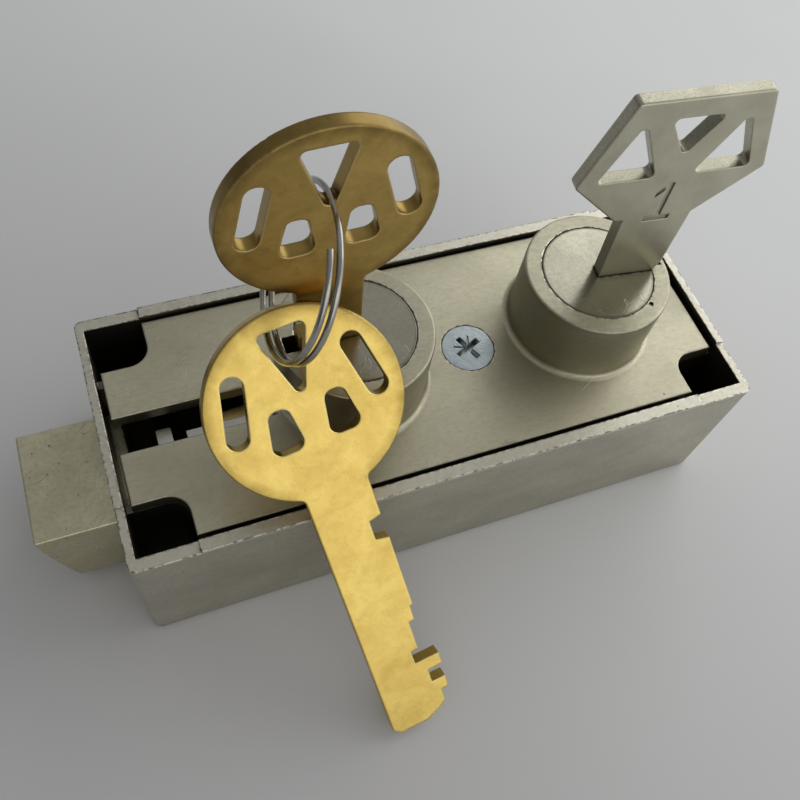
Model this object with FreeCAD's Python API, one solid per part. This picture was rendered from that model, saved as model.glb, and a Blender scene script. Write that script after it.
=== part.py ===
import FreeCAD, Part
import math
import os

# Dual key lever lock for a safe deposit box. Millimetres.
# X runs along the case with the bolt at -X, Z points up towards the noses,
# and the origin is the centre of the case's flat back.

# Case casting
CASE_LENGTH = 110.0
CASE_WIDTH = 46.1
CASE_HEIGHT = 29.7
END_WALL = 1.4
SIDE_WALL = 2.1
FLOOR = 2.0
CASE_CORNER = 1.3
CASE_BACK_EDGE = 0.8
RIM_STEP = 0.5

# Corner pockets for the mounting screws
POCKET_X = 9.3
POCKET_FROM_MIDDLE = 12.35
POCKET_CORNER = 3.5
POCKET_WALL = 1.5
MOUNT_HOLE = 2.2

# Cover plate with its two noses, whose centres are given as shares of the case's length
COVER_THICKNESS = 2.5
COVER_BELOW_RIM = 0.4
COVER_END_GAP = 1.0
COVER_FRONT_GAP = 1.0
COVER_BACK_GAP = 0.4
COVER_EDGE = 0.3
SLOT_HALF_WIDTH = 3.25
SLOT_END_FROM_PLUG = 14.0
NOSE_HEIGHT = 13.6
NOSE_RADIUS = 12.7
NOSE_BASE_FILLET = 1.1
NOSE_EDGE = 0.4
NOSE_Y = 0.6
RENTER_SHARE = -13 / 110
GUARD_SHARE = 30.6 / 110
NOSE_NOTCH_RADIUS = 11.8
NOSE_NOTCH_WIDTH = 3.0
NICK_RADIUS = 0.4
NICK_OFFSET = 10.4
NICK_ANGLE = -56.0
NICK_DEPTH = 0.6

# Cover screw and the post that it goes into
SCREW_SHARE = 8.7 / 110
SCREW_HEAD = 4.65
SCREW_HEAD_DEPTH = 2.0
SCREW_RIM = 0.4
SCREW_SHANK = 2.45
SCREW_LENGTH = 16.0
SCREW_GAP = 0.15
RECESS_WIDTH = 1.1
RECESS_REACH = 2.6
RECESS_DEPTH = 1.6
RECESS_ANGLE = 25.0
TICK_DEPTH = 0.25
TICK_ANGLE = 70.0
POST_RADIUS = 3.3

# Plugs
PLUG_RADIUS = 9.75
RUNNING_GAP = 0.07
PLUG_EDGE = 0.15
FLANGE_RADIUS = 11.3
FLANGE_THICKNESS = 1.5
FLANGE_GAP = 0.2
KEY_SLOT_GAP = 0.1
GUARD_REST_ANGLE = -6.5
KEY_TURN = 90.0

# Keys, measured from the centre of the bow down the blade and from the blade's back edge
KEY_THICKNESS = 2.3
KEY_EDGE = 0.3
BOW_RADIUS = 14.85
BOW_ABOVE_NOSE = 28.2
BOW_TO_TIP = 60.8
RENTER_KEY_LEAN = 2.5
BLADE_BACK = -0.45
BOW_OFFSET = 5.15
BLADE_WIDTH = 10.15
BLADE_INTO_BOW = 6.0
NECK_FILLET = 1.0
THROAT_START = 20.9
THROAT_END = 25.2
THROAT_HEIGHT = 8.0
THROAT_SLOPE = 0.5
FIRST_STEP_START = 38.4
FIRST_STEP_HEIGHT = 9.6
SECOND_STEP_START = 41.2
SECOND_STEP_HEIGHT = 8.6
BIT_SLOPE = 0.07
RENTER_BITS = [10.1, 11.4, 9.0, 11.6, 7.3]
GUARD_BITS = [9.4, 8.2, 10.9, 9.0, 7.8]
TIP_HEIGHT = 6.3
TIP_BACK_CUT = 1.2

# Holes in the brass bow, all measured from its centre
TRIANGLE_TOP = 12.1
TRIANGLE_HALF = 3.9
TRIANGLE_POINT = 0.4
TRIANGLE_CORNER = 0.9
SIDE_SLOT_TOP = [6.4, 9.0]
SIDE_SLOT_BOTTOM = [-0.9, 10.8]
SIDE_SLOT_RADIUS = 1.7
DROP_TOP = 0.95
DROP_TOP_INNER = 2.8
DROP_TOP_OUTER = 5.8
DROP_TOP_RADIUS = 1.4
DROP_FOOT = -5.9
DROP_FOOT_INNER = 1.8
DROP_FOOT_OUTER = 7.15
DROP_FOOT_RADIUS = 1.5

# Six-sided bow of the guard key, measured up from its neck and to either side of its middle
GUARD_NECK_ABOVE_NOSE = 14.2
GUARD_BOW_OFFSET = 3.95
GUARD_BOW_LEAN = 2.0
GUARD_BOW_TOP = 23.5
GUARD_BOW_TOP_HALF = 10.2
GUARD_BOW_SIDE = 8.6
GUARD_BOW_SIDE_HALF = 15.35
GUARD_NECK_HALF = 6.5
GUARD_BOW_CORNER = 0.8
GUARD_HOLE_TOP = 20.1
GUARD_HOLE_FOOT = 9.1
GUARD_HOLE_NEAR = 2.9
GUARD_HOLE_FAR = 12.5
GUARD_HOLE_HIGH = 8.0
GUARD_MID_TOP = 20.25
GUARD_MID_POINT = 12.9
GUARD_MID_HALF = 4.3
GUARD_STEM_FLARE = 0.7
GUARD_STEM_FLARE_FOOT = 2.0
GUARD_STEM_INTO_BOW = 2.0
GUARD_FILL_GAP = 0.2
NUMERAL_X = 0.6
NUMERAL_FOOT = -0.7
NUMERAL_HEIGHT = 8.2
NUMERAL_STROKE = 1.0
NUMERAL_FOOT_WIDTH = 4.4
NUMERAL_DEPTH = 0.3

# The spare key hangs on the ring and leans out over the case's front edge.
# Its bow and the ring are placed from the centre of the renter nose's face.
SPARE_LEAN = 47.4
SPARE_YAW = 8.2
SPARE_BOW_CENTRE = [-12.1, -12.15, 2.9]

# Split ring
RING_RADIUS = 12.0
RING_WIRE = 0.9
RING_COIL_GAP = 0.41
RING_TURNS = 1.75
RING_CENTRE = [-10.394, -2.854, 21.103]
RING_TILT = 110.5
RING_TURN = -7.56
RING_START = 296.2

# Bolt with its tail
BOLT_REACH = 13.8
BOLT_HALF_WIDTH = 10.0
BOLT_TOP = 19.7
BOLT_NOSE_SETBACK = 3.7
BOLT_NOSE_BULGE = 1.4
BOLT_FLOOR_GAP = 0.1
BOLT_GUIDE_GAP = 0.12
BOLT_INSIDE = 3.4
BOLT_EDGE = 0.35
TAIL_THICKNESS = 3.0
TAIL_LOW = -5.0
TAIL_HIGH = 4.7
TAIL_WEB = 1.4
PRONG_BEHIND_PLUG = 3.0
PRONG_LOW = -12.6
PRONG_HIGH = -4.3
PRONG_PAST_FENCE = 1.8

# Drive from the renter plug to the bolt
CRANK_RADIUS = 9.4
CRANK_PIN = 1.5
CRANK_START_ANGLE = 135.0
CRANK_PLAY = 0.45
CRANK_LUG_WALL = 2.2
CRANK_FOOT_GAP = 0.3
CAM_RADIUS = 11.3
CAM_TAIL_GAP = 0.3
CAM_LEVER_GAP = 0.575
CAM_STUD_RADIUS = 3.0
CAM_STUD_WEB = 1.0
CAM_STUD_GAP = 0.1
KEY_TIP_GAP = 0.2

# Levers
LEVER_THICKNESS = 2.25
LEVER_PITCH = 2.4
TOP_LEVER_BELOW_COVER = 3.6
RENTER_LEVERS = 5
GUARD_LEVERS = 4
LEVER_SWING = 5.5
KEY_CLEAR_RADIUS = 11.6
LEVER_BAR = 3.6
HUB_X = 15.9
HUB_Y = 7.6
HUB_RADIUS = 3.5
PIVOT_RADIUS = 2.0
PIVOT_FOOT_RADIUS = 3.2
PIN_SPIGOT = 1.2
FENCE_LENGTH = 2.5
FENCE_HALF_WIDTH = 1.5
FENCE_TOP_GAP = 0.15
FENCE_EDGE = 0.25
FENCE_RUN_UP = 6.2
GATE_GAP = 0.15
RENTER_MOUTH = -24.8
RENTER_GATE_Y = 0.0
RENTER_ARM = [-5.5, 5.5]
GUARD_MOUTH = -18.1
GUARD_GATE_Y = 11.0
GUARD_ARM = [7.5, 15.6]
GATE_END_GAP = 0.3
PAD_LEFT = -1.0
PAD_RIGHT = 2.5
BIT_GAP = 0.4
STOP_RADIUS = 1.5
STOP_GAP = 0.06
RENTER_STOP_X = -19.0
GUARD_STOP_X = -15.0
LEVER_PLATE_THICKNESS = 0.5
LEVER_PLATE_GAP = 0.07
LEVER_PLATE_REACH = -28.7
RENTER_PLATE_SIDES = [-8.0, 0.3]
GUARD_PLATE_SIDES = [-6.0, 3.0]

# Lever springs
SPRING_STRIP = 0.3
SPRING_HEIGHT = 1.7
SPRING_ROOT_X = -3.0
SPRING_ROOT_DEPTH = 1.6
SPRING_TIP_X = 8.0
SPRING_WALL_GAP = 0.3
SPRING_BEND_RISE = 0.6
SPRING_BEND_RUN = 0.45
SPRING_CROWN_RUN = 1.9
SPRING_CROWN_SAG = 1.3
SPRING_CROWN_RISE = 1.0
SPRING_MID_SAG = 0.25
SPRING_MID_RUN = 0.5
SPRING_CURL_RUN = 1.2
SPRING_CURL_SAG = 0.8

# Worked out from the dimensions above
inner_x = CASE_LENGTH / 2 - END_WALL
inner_y = CASE_WIDTH / 2 - SIDE_WALL
cover_top = CASE_HEIGHT - COVER_BELOW_RIM
cover_under = cover_top - COVER_THICKNESS
nose_top = cover_top + NOSE_HEIGHT
renter_x = RENTER_SHARE * CASE_LENGTH
guard_x = GUARD_SHARE * CASE_LENGTH
screw_x = SCREW_SHARE * CASE_LENGTH
bow_centre_z = nose_top + BOW_ABOVE_NOSE
key_tip_z = bow_centre_z - BOW_TO_TIP
top_lever_z = cover_under - TOP_LEVER_BELOW_COVER
lowest_lever_foot = top_lever_z - (RENTER_LEVERS - 1) * LEVER_PITCH - LEVER_THICKNESS / 2
cam_top = lowest_lever_foot - CAM_LEVER_GAP
cam_stud_top = key_tip_z - KEY_TIP_GAP - CAM_STUD_WEB - CAM_STUD_GAP
bolt_inner_end = BOLT_INSIDE - CASE_LENGTH / 2
nose_bore = PLUG_RADIUS + RUNNING_GAP
bolt_bottom = FLOOR + BOLT_FLOOR_GAP
tail_top = bolt_bottom + TAIL_THICKNESS
bolt_throw = 2 * CRANK_RADIUS * math.sin(math.radians(KEY_TURN / 2))
levers_top = top_lever_z + LEVER_THICKNESS / 2
plate_under = levers_top + LEVER_PLATE_GAP
plate_top = plate_under + LEVER_PLATE_THICKNESS
fence_top = plate_under - FENCE_TOP_GAP
flange_top = cover_under - FLANGE_GAP
ring_pitch = RING_WIRE + RING_COIL_GAP


def vec(x, y, z=0.0):
    return FreeCAD.Vector(x, y, z)


def box(x0, x1, y0, y1, z0, z1):
    return Part.makeBox(x1 - x0, y1 - y0, z1 - z0, vec(x0, y0, z0))


def rod(x, y, radius, z0, z1):
    return Part.makeCylinder(radius, z1 - z0, vec(x, y, z0))


def rounded_outline(points, radius):
    """Closed outline through the points, with every corner rounded to one radius."""
    corners = [vec(*point) for point in points]
    arcs = []
    for here, corner in enumerate(corners):
        back = (corners[here - 1] - corner).normalize()
        ahead = (corners[(here + 1) % len(corners)] - corner).normalize()
        half = back.getAngle(ahead) / 2
        reach = radius / math.tan(half)
        middle = (back + ahead).normalize()
        centre = corner + middle * (radius / math.sin(half))
        arcs.append((corner + back * reach, centre - middle * radius, corner + ahead * reach))
    edges = []
    for here, (start, mid, end) in enumerate(arcs):
        edges.append(Part.Arc(start, mid, end).toShape())
        edges.append(Part.LineSegment(end, arcs[(here + 1) % len(arcs)][0]).toShape())
    return Part.Wire(edges)


def prism(points, z0, z1, radius=0.0):
    """Upright prism on a flat outline."""
    if radius > 0:
        outline = rounded_outline(points, radius)
    else:
        outline = Part.makePolygon([vec(*point) for point in points + points[:1]])
    solid = Part.Face(outline).extrude(vec(0, 0, z1 - z0))
    solid.translate(vec(0, 0, z0))
    return solid


def stadium(start, end, radius, z0, z1):
    """Round-ended bar between two points."""
    a = vec(*start)
    b = vec(*end)
    side = (b - a).normalize()
    across = vec(-side.y, side.x) * radius
    bar = prism([(p.x, p.y) for p in (a - across, b - across, b + across, a + across)], z0, z1)
    return bar.fuse([rod(a.x, a.y, radius, z0, z1), rod(b.x, b.y, radius, z0, z1)]).removeSplitter()


def fillet_edges(solid, radius, wanted):
    """Round the edges for which wanted is true."""
    return solid.makeFillet(radius, [edge for edge in solid.Edges if wanted(edge)])


def level_at(edge, z):
    bounds = edge.BoundBox
    return abs(bounds.ZMin - z) < 1e-6 and abs(bounds.ZMax - z) < 1e-6


def upright(edge):
    bounds = edge.BoundBox
    return bounds.XLength < 1e-6 and bounds.YLength < 1e-6 and bounds.ZLength > 1e-3


def turned(solid, x, y, degrees):
    """The solid turned about an upright axis."""
    copy = solid.copy()
    copy.rotate(vec(x, y, 0), vec(0, 0, 1), degrees)
    return copy


def set_on(solid, base, x_dir, y_dir):
    """The solid moved so that its own X and Y lie along the two directions."""
    z_dir = x_dir.cross(y_dir)
    copy = solid.copy()
    onto = FreeCAD.Placement(base, FreeCAD.Rotation(x_dir, y_dir, z_dir, "ZXY"))
    copy.Placement = onto.multiply(copy.Placement)
    return copy


def pocket(sign_x, sign_y, wall, z0, z1):
    """Room of one corner pocket, grown by a wall on its two inner sides."""
    near_x = inner_x - POCKET_X - wall
    near_y = POCKET_FROM_MIDDLE - wall
    rounding = POCKET_CORNER + wall
    solid = box(near_x, inner_x, near_y, inner_y, z0, z1)
    inner_edge = [edge for edge in solid.Edges if upright(edge)
                  and abs(edge.BoundBox.XMin - near_x) < 1e-6 and abs(edge.BoundBox.YMin - near_y) < 1e-6]
    solid = solid.makeFillet(rounding, inner_edge)
    if sign_x < 0:
        solid = solid.mirror(vec(0, 0), vec(1, 0))
    if sign_y < 0:
        solid = solid.mirror(vec(0, 0), vec(0, 1))
    return solid


def corners():
    return [(sign_x, sign_y) for sign_x in (-1, 1) for sign_y in (-1, 1)]


def make_case():
    half_x = CASE_LENGTH / 2
    half_y = CASE_WIDTH / 2
    rim_top = CASE_HEIGHT + RIM_STEP
    case = box(-half_x, half_x, -half_y, half_y, 0, rim_top)
    case = fillet_edges(case, CASE_CORNER, upright)
    case = fillet_edges(case, CASE_BACK_EDGE, lambda edge: level_at(edge, 0))
    case = case.cut(box(-inner_x, inner_x, -inner_y, inner_y, FLOOR, rim_top + 1))
    for sign_x, sign_y in corners():
        reach = [(inner_x - POCKET_X) * sign_x, (half_x + 1) * sign_x]
        width = [POCKET_FROM_MIDDLE * sign_y, (half_y + 1) * sign_y]
        case = case.cut(box(min(reach), max(reach), min(width), max(width), CASE_HEIGHT, rim_top + 1))
        walls = pocket(sign_x, sign_y, POCKET_WALL, FLOOR, cover_under)
        case = case.fuse(walls.cut(pocket(sign_x, sign_y, 0.0, FLOOR, cover_under)))
        hole_x = sign_x * (inner_x - POCKET_X / 2)
        hole_y = sign_y * (inner_y + POCKET_FROM_MIDDLE) / 2
        case = case.cut(rod(hole_x, hole_y, MOUNT_HOLE, -1, FLOOR + 1))
    post = rod(screw_x, 0, POST_RADIUS, FLOOR, cover_under)
    screw_hole = rod(screw_x, 0, SCREW_SHANK, cover_top - SCREW_LENGTH - 1, cover_under)
    case = case.fuse([post.cut(screw_hole), rod(renter_x, NOSE_Y, CAM_STUD_RADIUS, FLOOR, cam_stud_top)])
    opening = BOLT_HALF_WIDTH + BOLT_GUIDE_GAP
    case = case.cut(box(-half_x - 1, -inner_x, -opening, opening, FLOOR, BOLT_TOP + BOLT_GUIDE_GAP))
    return case.removeSplitter()


def nose(x, notch_angle, nick):
    """One round nose on the cover, bored for its plug and notched for the key."""
    barrel = rod(x, NOSE_Y, NOSE_RADIUS, cover_under, nose_top)
    barrel = fillet_edges(barrel, NOSE_EDGE, lambda edge: level_at(edge, nose_top))
    bore = rod(x, NOSE_Y, nose_bore, cover_under - 1, nose_top + 1)
    half = NOSE_NOTCH_WIDTH / 2
    notch = box(x, x + NOSE_NOTCH_RADIUS, NOSE_Y - half, NOSE_Y + half, cover_under - 1, nose_top + 1)
    cutter = bore.fuse(turned(notch, x, NOSE_Y, notch_angle))
    if nick:
        angle = math.radians(NICK_ANGLE)
        nick_x = x + NICK_OFFSET * math.cos(angle)
        nick_y = NOSE_Y + NICK_OFFSET * math.sin(angle)
        cutter = cutter.fuse(rod(nick_x, nick_y, NICK_RADIUS, nose_top - NICK_DEPTH, nose_top + 1))
    return barrel, cutter


def make_cover():
    half_x = inner_x - COVER_END_GAP
    front = -inner_y + COVER_FRONT_GAP
    back = inner_y - COVER_BACK_GAP
    plate = box(-half_x, half_x, front, back, cover_under, cover_top)
    for sign_x, sign_y in corners():
        plate = plate.cut(pocket(sign_x, sign_y, 0.0, cover_under - 1, cover_top + 1))
    slot_end = renter_x - SLOT_END_FROM_PLUG
    slot = box(-half_x - 1, slot_end, -SLOT_HALF_WIDTH, SLOT_HALF_WIDTH, cover_under - 1, cover_top + 1)
    plate = plate.cut(slot)
    plate = fillet_edges(plate, COVER_EDGE, lambda edge: level_at(edge, cover_top))
    renter_barrel, renter_cut = nose(renter_x, 180.0, False)
    guard_barrel, guard_cut = nose(guard_x, 0.0, True)
    cover = plate.fuse([renter_barrel, guard_barrel])

    def at_nose_foot(edge):
        round_edge = isinstance(edge.Curve, Part.Circle) and abs(edge.Curve.Radius - NOSE_RADIUS) < 1e-6
        return round_edge and level_at(edge, cover_top)
    cover = fillet_edges(cover, NOSE_BASE_FILLET, at_nose_foot)
    cover = cover.cut([renter_cut, guard_cut, screw_seat(SCREW_GAP)])
    return cover.removeSplitter()


def screw_body(gap):
    """Countersunk screw blank, grown by a gap all round."""
    head_foot = cover_top - SCREW_HEAD_DEPTH
    rim = rod(screw_x, 0, SCREW_HEAD + gap, cover_top - SCREW_RIM, cover_top)
    cone_depth = SCREW_HEAD_DEPTH - SCREW_RIM
    cone = Part.makeCone(SCREW_SHANK + gap, SCREW_HEAD + gap, cone_depth, vec(screw_x, 0, head_foot))
    shank = rod(screw_x, 0, SCREW_SHANK + gap, cover_top - SCREW_LENGTH, head_foot)
    return rim.fuse([cone, shank]).removeSplitter()


def screw_seat(gap):
    return screw_body(gap).fuse(rod(screw_x, 0, SCREW_HEAD + gap, cover_top - SCREW_RIM, cover_top + 1))


def make_cover_screw():
    screw = screw_body(0.0).cut(rod(screw_x, 0, SCREW_SHANK + 1, cover_top - SCREW_LENGTH - 1, cover_under))
    thread = rod(screw_x, 0, SCREW_SHANK - RUNNING_GAP, cover_top - SCREW_LENGTH, cover_under)
    screw = screw.fuse(thread).removeSplitter()
    half = RECESS_WIDTH / 2
    foot = cover_top - RECESS_DEPTH
    for angle in (RECESS_ANGLE, RECESS_ANGLE + 90):
        arm = box(screw_x - RECESS_REACH, screw_x + RECESS_REACH, -half, half, foot, cover_top + 1)
        screw = screw.cut(turned(arm, screw_x, 0, angle))
    for angle in (TICK_ANGLE, TICK_ANGLE + 90):
        tick_foot = cover_top - TICK_DEPTH
        tick = box(screw_x, screw_x + RECESS_REACH, -half / 3, half / 3, tick_foot, cover_top + 1)
        screw = screw.cut(turned(tick, screw_x, 0, angle))
    return screw


def leaned(solid, lean):
    """A solid of the renter side tilted outwards about the blade's outer edge at the nose's face."""
    copy = solid.copy()
    copy.rotate(vec(renter_x - BLADE_BACK - BLADE_WIDTH, NOSE_Y, nose_top), vec(0, 1), -lean)
    return copy


def key_slot(x, angle, z0, z1):
    """Radial slot for a blade, open at the outer side."""
    half = KEY_THICKNESS / 2 + KEY_SLOT_GAP
    slot = box(x + BLADE_BACK - KEY_SLOT_GAP, x + 2 * PLUG_RADIUS, NOSE_Y - half, NOSE_Y + half, z0, z1)
    return turned(slot, x, NOSE_Y, angle)


def make_plug(x, angle, lean):
    barrel = rod(x, NOSE_Y, PLUG_RADIUS, flange_top - FLANGE_THICKNESS, nose_top)
    barrel = barrel.makeChamfer(PLUG_EDGE, [edge for edge in barrel.Edges if level_at(edge, nose_top)])
    flange = rod(x, NOSE_Y, FLANGE_RADIUS, flange_top - FLANGE_THICKNESS, flange_top)
    slot = key_slot(x, angle, flange_top - FLANGE_THICKNESS - 1, nose_top + 1)
    return barrel.fuse(flange).cut(leaned(slot, lean)).removeSplitter()


def lever_height(number):
    """Middle of a lever; number 1 is the lowest of five and 5 the highest."""
    return top_lever_z - (RENTER_LEVERS - number) * LEVER_PITCH


def blade_points(bits):
    """Outline of a blade: across from the back edge, and up from the bow's centre."""
    top = BLADE_INTO_BOW - BOW_RADIUS
    points = [(0, top), (0, -BOW_TO_TIP + TIP_BACK_CUT), (TIP_BACK_CUT, -BOW_TO_TIP)]
    points.append((TIP_HEIGHT, -BOW_TO_TIP))
    bottom = -BOW_TO_TIP + TIP_BACK_CUT
    previous = TIP_HEIGHT
    for number, height in enumerate(bits, start=1):
        middle = lever_height(number) - bow_centre_z
        low = middle - LEVER_PITCH / 2
        if number == 1:
            points.append((height - TIP_BACK_CUT, bottom))
            points.append((height, low + BIT_SLOPE))
        else:
            points.append((previous, low - BIT_SLOPE))
            points.append((height, low + math.copysign(BIT_SLOPE, height - previous)))
        previous = height
    last = lever_height(RENTER_LEVERS) - bow_centre_z + LEVER_PITCH / 2
    points += [(previous, last - BIT_SLOPE), (SECOND_STEP_HEIGHT, last + BIT_SLOPE)]
    points.append((SECOND_STEP_HEIGHT, -SECOND_STEP_START - BIT_SLOPE))
    points.append((FIRST_STEP_HEIGHT, -SECOND_STEP_START))
    points += [(FIRST_STEP_HEIGHT, -FIRST_STEP_START - BIT_SLOPE), (BLADE_WIDTH, -FIRST_STEP_START)]
    points += [(BLADE_WIDTH, -THROAT_END), (THROAT_HEIGHT, -THROAT_END + THROAT_SLOPE)]
    points += [(THROAT_HEIGHT, -THROAT_START - THROAT_SLOPE), (BLADE_WIDTH, -THROAT_START)]
    points.append((BLADE_WIDTH, top))
    return points


def make_blade(bits):
    half = KEY_THICKNESS / 2
    return prism(blade_points(bits), -half, half)


def make_brass_key():
    """Renter key, flat, with the centre of its bow at the origin and its blade along -Y."""
    half = KEY_THICKNESS / 2
    blade = make_blade(RENTER_BITS)
    blade.translate(vec(-BOW_OFFSET, 0))
    key = rod(0, 0, BOW_RADIUS, -half, half).fuse(blade).removeSplitter()
    key = fillet_edges(key, NECK_FILLET,
                       lambda edge: upright(edge) and -BOW_RADIUS < edge.BoundBox.YMin < -BOW_RADIUS / 2)

    def bow_edge(edge):
        on_face = level_at(edge, half) or level_at(edge, -half)
        return on_face and edge.BoundBox.YMax > -BOW_RADIUS - NECK_FILLET
    key = fillet_edges(key, KEY_EDGE, bow_edge)
    triangle = [(-TRIANGLE_HALF, TRIANGLE_TOP), (TRIANGLE_HALF, TRIANGLE_TOP), (0, TRIANGLE_POINT)]
    holes = [prism(triangle, -BOW_RADIUS, BOW_RADIUS, TRIANGLE_CORNER)]
    for side in (-1, 1):
        top = (side * SIDE_SLOT_TOP[1], SIDE_SLOT_TOP[0])
        bottom = (side * SIDE_SLOT_BOTTOM[1], SIDE_SLOT_BOTTOM[0])
        holes.append(stadium(top, bottom, SIDE_SLOT_RADIUS, -BOW_RADIUS, BOW_RADIUS))
        holes.append(drop_hole(side))
    return key.cut(holes)


def drop_hole(side):
    """Drop-shaped hole with a rounded top and a wider foot."""
    points = [(side * DROP_TOP_INNER, DROP_TOP), (side * DROP_TOP_OUTER, DROP_TOP)]
    points += [(side * DROP_FOOT_OUTER, DROP_FOOT), (side * DROP_FOOT_INNER, DROP_FOOT)]
    hole = prism(points, -BOW_RADIUS, BOW_RADIUS)
    hole = fillet_edges(hole, DROP_TOP_RADIUS, lambda edge: upright(edge) and edge.BoundBox.YMin > 0)
    at_foot = DROP_FOOT + 1e-6
    return fillet_edges(hole, DROP_FOOT_RADIUS, lambda edge: upright(edge) and edge.BoundBox.YMax < at_foot)


def make_renter_key():
    base = vec(renter_x - BLADE_BACK - BOW_OFFSET, NOSE_Y, bow_centre_z)
    return leaned(set_on(make_brass_key(), base, vec(-1, 0), vec(0, 0, 1)), RENTER_KEY_LEAN)


def on_guard_bow(solid):
    """From the guard bow's own frame, with its neck at the origin, to its place on the stem."""
    copy = turned(solid, 0, 0, GUARD_BOW_LEAN)
    copy.translate(vec(GUARD_BOW_OFFSET, nose_top + GUARD_NECK_ABOVE_NOSE))
    return copy


def guard_bow_holes():
    holes = []
    for side in (-1, 1):
        triangle = [(side * GUARD_HOLE_HIGH, GUARD_HOLE_TOP), (side * GUARD_HOLE_NEAR, GUARD_HOLE_FOOT)]
        triangle.append((side * GUARD_HOLE_FAR, GUARD_HOLE_FOOT))
        holes.append(prism(triangle, -BOW_RADIUS, BOW_RADIUS, GUARD_BOW_CORNER))
    centre = [(-GUARD_MID_HALF, GUARD_MID_TOP), (GUARD_MID_HALF, GUARD_MID_TOP), (0, GUARD_MID_POINT)]
    holes.append(prism(centre, -BOW_RADIUS, BOW_RADIUS, GUARD_BOW_CORNER))
    return holes


def make_guard_key():
    """Guard key, flat at first, across from the plug's axis and up from the case's back."""
    half = KEY_THICKNESS / 2
    outline = [(-GUARD_BOW_TOP_HALF, GUARD_BOW_TOP), (-GUARD_BOW_SIDE_HALF, GUARD_BOW_SIDE)]
    outline += [(-GUARD_NECK_HALF, 0), (GUARD_NECK_HALF, 0)]
    outline += [(GUARD_BOW_SIDE_HALF, GUARD_BOW_SIDE), (GUARD_BOW_TOP_HALF, GUARD_BOW_TOP)]
    bow = prism(outline, -half, half, GUARD_BOW_CORNER)
    bow = fillet_edges(bow, KEY_EDGE, lambda edge: level_at(edge, half) or level_at(edge, -half))
    front_edge = BLADE_BACK + BLADE_WIDTH
    foot = nose_top + GUARD_FILL_GAP
    neck = nose_top + GUARD_NECK_ABOVE_NOSE
    stem_top = neck + GUARD_STEM_INTO_BOW
    wide = front_edge + GUARD_STEM_FLARE
    stem = [(BLADE_BACK, foot), (front_edge, foot), (wide, foot + GUARD_STEM_FLARE_FOOT), (wide, stem_top)]
    stem += [(BLADE_BACK - GUARD_STEM_FLARE, stem_top), (BLADE_BACK - GUARD_STEM_FLARE, neck)]
    blade = make_blade(GUARD_BITS)
    blade.translate(vec(BLADE_BACK, bow_centre_z))
    above = box(-BOW_RADIUS, 2 * BOW_RADIUS, foot + GUARD_STEM_FLARE_FOOT, bow_centre_z, -half, half)
    key = on_guard_bow(bow).fuse([blade.cut(above), prism(stem, -half, half)]).removeSplitter()
    cutters = guard_bow_holes() + [numeral_one(NUMERAL_X, half)]
    key = key.cut([on_guard_bow(cutter) for cutter in cutters])
    key = set_on(key, vec(guard_x, NOSE_Y, 0), vec(1, 0), vec(0, 0, 1))
    return turned(key, guard_x, NOSE_Y, GUARD_REST_ANGLE)


def numeral_one(x, face):
    """Plain numeral stamped into the front face."""
    half = NUMERAL_STROKE / 2
    top = NUMERAL_FOOT + NUMERAL_HEIGHT
    deep = face - NUMERAL_DEPTH
    stem = box(x - half, x + half, NUMERAL_FOOT, top, deep, face + 1)
    foot_half = NUMERAL_FOOT_WIDTH / 2
    foot = box(x - foot_half, x + foot_half, NUMERAL_FOOT, NUMERAL_FOOT + NUMERAL_STROKE, deep, face + 1)
    tip = x - half - NUMERAL_FOOT_WIDTH / 3
    flag = [(x - half, top), (tip, top - 2 * NUMERAL_STROKE), (tip, top - 3 * NUMERAL_STROKE)]
    flag.append((x - half, top - 1.4 * NUMERAL_STROKE))
    return stem.fuse([foot, prism(flag, deep, face + 1)])


def from_nose(place):
    """Point given from the centre of the renter nose's face."""
    return vec(renter_x, NOSE_Y, nose_top) + vec(*place)


def make_spare_key():
    """The second renter key, hanging on the ring with its blade out over the case's front edge."""
    lean = math.radians(SPARE_LEAN)
    yaw = math.radians(SPARE_YAW)
    front = vec(0, -math.sin(lean), math.cos(lean))
    downhill = vec(0, -math.cos(lean), -math.sin(lean))
    along = downhill * math.cos(yaw) + vec(1, 0) * math.sin(yaw)
    return set_on(make_brass_key(), from_nose(SPARE_BOW_CENTRE), front.cross(along), along * -1)


def coil_point(turns):
    """Point on the middle of the ring's wire, the ring lying flat, after so many turns."""
    angle = math.radians(RING_START + 360 * turns)
    height = ring_pitch * (turns - RING_TURNS / 2)
    return vec(RING_RADIUS * math.cos(angle), RING_RADIUS * math.sin(angle), height)


def coil_direction(turns):
    angle = math.radians(RING_START + 360 * turns)
    rise = ring_pitch / (2 * math.pi)
    return vec(-RING_RADIUS * math.sin(angle), RING_RADIUS * math.cos(angle), rise).normalize()


def tangent_arc(start, corner, end):
    """Arc from start to end whose two tangents meet at the corner."""
    middle = (start + end) * 0.5
    towards = corner - middle
    half_chord = (end - start).Length / 2
    half_angle = math.atan2(towards.Length, half_chord)
    crown = middle + towards.normalize() * (half_chord * math.tan(half_angle / 2))
    return Part.Arc(start, crown, end).toShape()


def biarc(first, last):
    """Two arcs that follow the ring's wire from one number of turns to another."""
    start = coil_point(first)
    end = coil_point(last)
    leaving = coil_direction(first)
    arriving = coil_direction(last)
    chord = end - start
    both = leaving + arriving
    a = both.dot(both) - 4
    b = -2 * chord.dot(both)
    reach = (-b - math.sqrt(b * b - 4 * a * chord.dot(chord))) / (2 * a)
    corner_one = start + leaving * reach
    corner_two = end - arriving * reach
    join = (corner_one + corner_two) * 0.5
    return [tangent_arc(start, corner_one, join), tangent_arc(join, corner_two, end)]


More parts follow.
